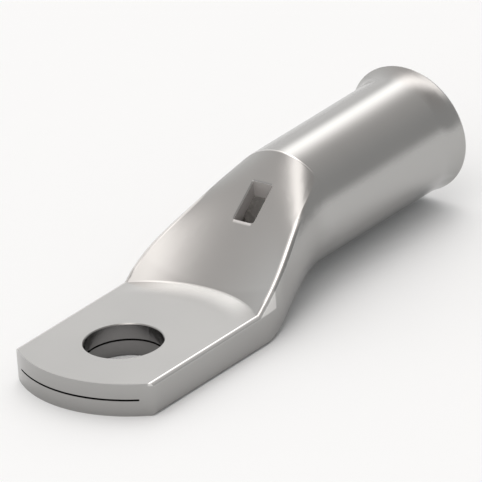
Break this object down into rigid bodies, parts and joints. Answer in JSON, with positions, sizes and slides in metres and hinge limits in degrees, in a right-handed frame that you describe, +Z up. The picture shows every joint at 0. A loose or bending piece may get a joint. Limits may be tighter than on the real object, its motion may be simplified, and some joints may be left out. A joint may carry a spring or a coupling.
{
  "type": "copper cable lug",
  "caption": "Tinned copper tube lug: round crimp barrel with a belled mouth, a sloped neck with a sight hole, and a flat palm with a bolt hole.",
  "frame": {"origin": "centre of the bolt hole on the underside of the palm", "axes": "+X along the barrel towards its mouth, +Z up out of the palm, +Y across the palm"},
  "size_m": [0.0749, 0.0226, 0.0184],
  "materials": {
    "tinned_copper": "satin tin plating"
  },
  "bodies": {
    "root": {"lug": "tinned_copper"}
  },
  "joints": []
}
